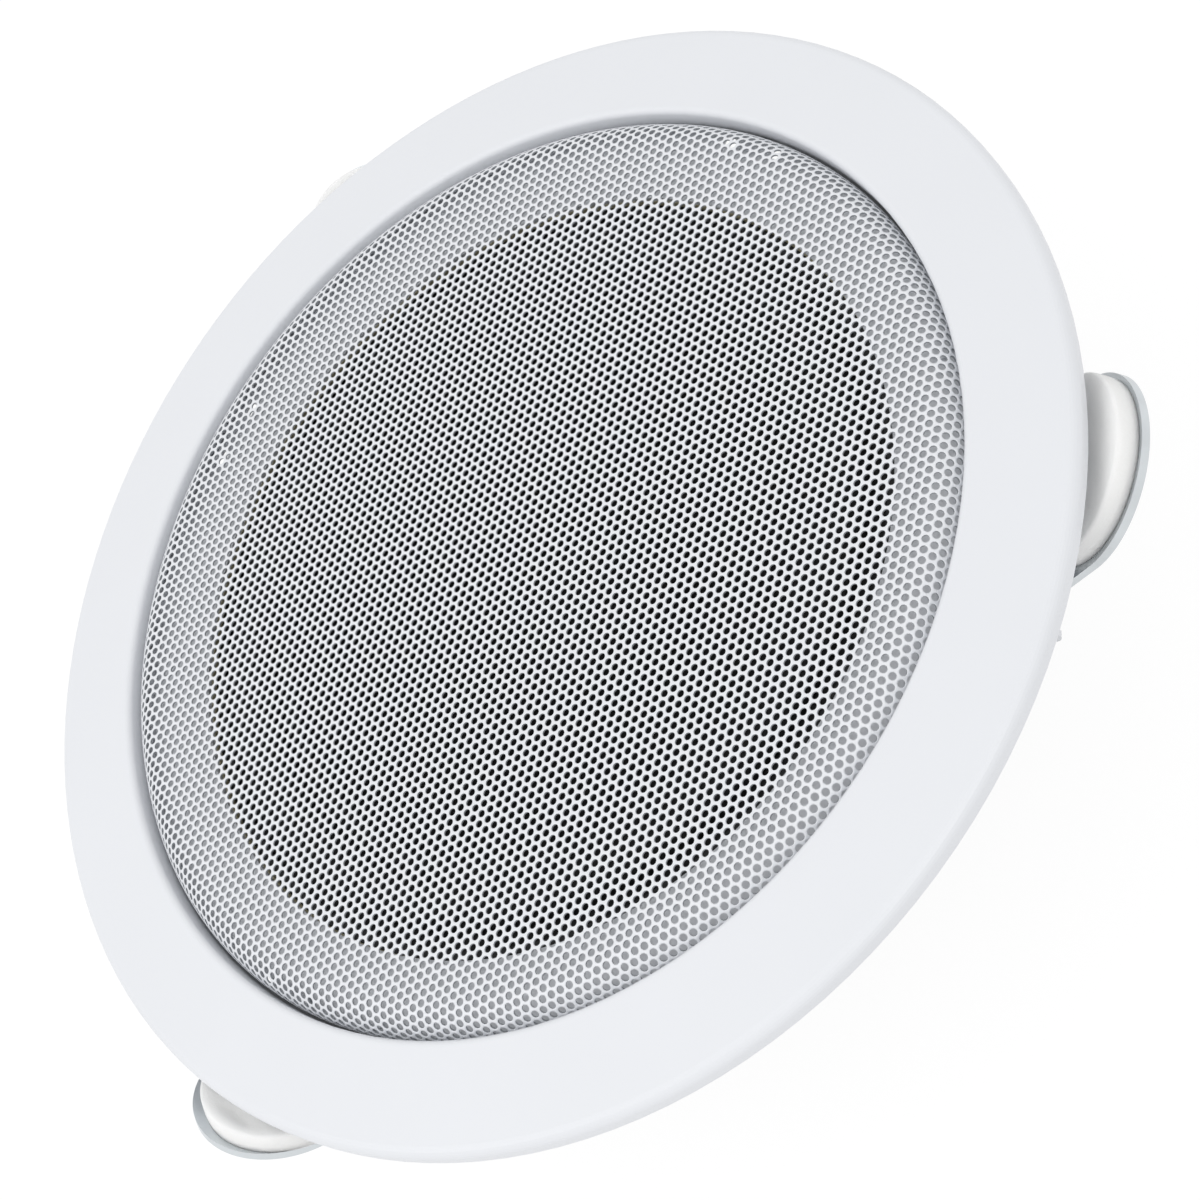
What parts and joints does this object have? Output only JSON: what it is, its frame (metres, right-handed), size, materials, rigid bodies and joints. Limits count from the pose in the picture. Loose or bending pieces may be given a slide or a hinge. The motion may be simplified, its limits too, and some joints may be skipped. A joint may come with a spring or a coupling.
{
  "type": "ceiling loudspeaker",
  "caption": "Round flush-mount ceiling loudspeaker with a white pressed steel flange, a fine perforated grille, a paper cone driver and sprung fixing clips.",
  "frame": {"origin": "centre of the flat back face of the magnet's back plate", "axes": "+Z out of the front through the grille; the fixing clips stand at 30, 150 and 270 degrees from +X about +Z"},
  "size_m": [0.18, 0.1873, 0.0626],
  "materials": {
    "white_paint": "smooth white powder coat, semi-gloss",
    "grille_paint": "white coated perforated steel",
    "chipboard": "tan pressed board",
    "black_paint": "black stove enamel",
    "black_foam": "matt black",
    "black_paper": "matt black pulp",
    "cap_paper": "matt black pulp",
    "copper": "enamelled copper",
    "spider_cloth": "resin dipped cotton",
    "zinc": "bright zinc plate",
    "ferrite": "ground ferrite",
    "paxolin": "resin bonded paper board",
    "tinned_brass": "tinned",
    "core_steel": "oxidised electrical steel",
    "bobbin_nylon": "moulded nylon",
    "winding_tape": "yellow polyester tape",
    "block_plastic": "moulded polyethylene",
    "black_wire": "PVC insulation",
    "red_wire": "PVC insulation",
    "spring_steel": "zinc plated music wire",
    "white_foam": "white foam, matt"
  },
  "bodies": {
    "housing": {"bezel": "white_paint", "grille": "grille_paint", "gasket": "chipboard", "driver_frame": "black_paint", "surround": "black_foam", "spider": "spider_cloth", "top_plate": "zinc", "magnet": "ferrite", "back_plate": "zinc", "tag_board": "paxolin", "tag_rivet": "zinc", "driver_tags": "tinned_brass", "tinsel_leads": "copper", "driver_nuts": "zinc", "clip_bracket_1": "white_paint", "clip_bracket_2": "white_paint", "clip_bracket_3": "white_paint", "clip_pin_1": "zinc", "clip_pin_2": "zinc", "clip_pin_3": "zinc", "clip_spring_1": "spring_steel", "clip_spring_2": "spring_steel", "clip_spring_3": "spring_steel", "clip_rivets": "white_paint", "transformer_mount": "zinc", "transformer_rivets": "white_paint", "transformer_core": "core_steel", "transformer_bobbin": "bobbin_nylon", "transformer_winding": "winding_tape", "transformer_strap": "zinc", "transformer_screws": "zinc", "terminal_bracket": "zinc", "terminal_block": "block_plastic", "block_screw": "zinc", "terminal_screws": "tinned_brass", "input_leads": "black_wire", "output_leads": "red_wire"},
    "cone": {"cone": "black_paper", "dust_cap": "cap_paper", "voice_coil": "copper"},
    "clip_1": {"clip_arm_1": "zinc", "clip_pad_1": "white_foam"},
    "clip_2": {"clip_arm_2": "zinc", "clip_pad_2": "white_foam"},
    "clip_3": {"clip_arm_3": "zinc", "clip_pad_3": "white_foam"}
  },
  "joints": [
    {"name": "cone_travel", "type": "slide", "parent": "housing", "child": "cone", "axis": [0, 0, 1], "range_m": [-0.002, 0.002], "stiffness_N_per_m": 1200, "deforming": ["surround", "spider", "tinsel_leads"]},
    {"name": "clip_1_hinge", "type": "hinge", "parent": "housing", "child": "clip_1", "pos_m": [0.06114, 0.0353, 0.0375], "axis": [-0.5, 0.866, 0], "range_deg": [0, 115], "stiffness_Nm_per_rad": 0.15, "springref_deg": -57.3, "deforming": ["clip_spring_1"]},
    {"name": "clip_2_hinge", "type": "hinge", "parent": "housing", "child": "clip_2", "pos_m": [-0.06114, 0.0353, 0.0375], "axis": [-0.5, -0.866, 0], "range_deg": [0, 115], "stiffness_Nm_per_rad": 0.15, "springref_deg": -57.3, "deforming": ["clip_spring_2"]},
    {"name": "clip_3_hinge", "type": "hinge", "parent": "housing", "child": "clip_3", "pos_m": [0, -0.0706, 0.0375], "axis": [1, 0, 0], "range_deg": [0, 115], "stiffness_Nm_per_rad": 0.15, "springref_deg": -57.3, "deforming": ["clip_spring_3"]}
  ]
}
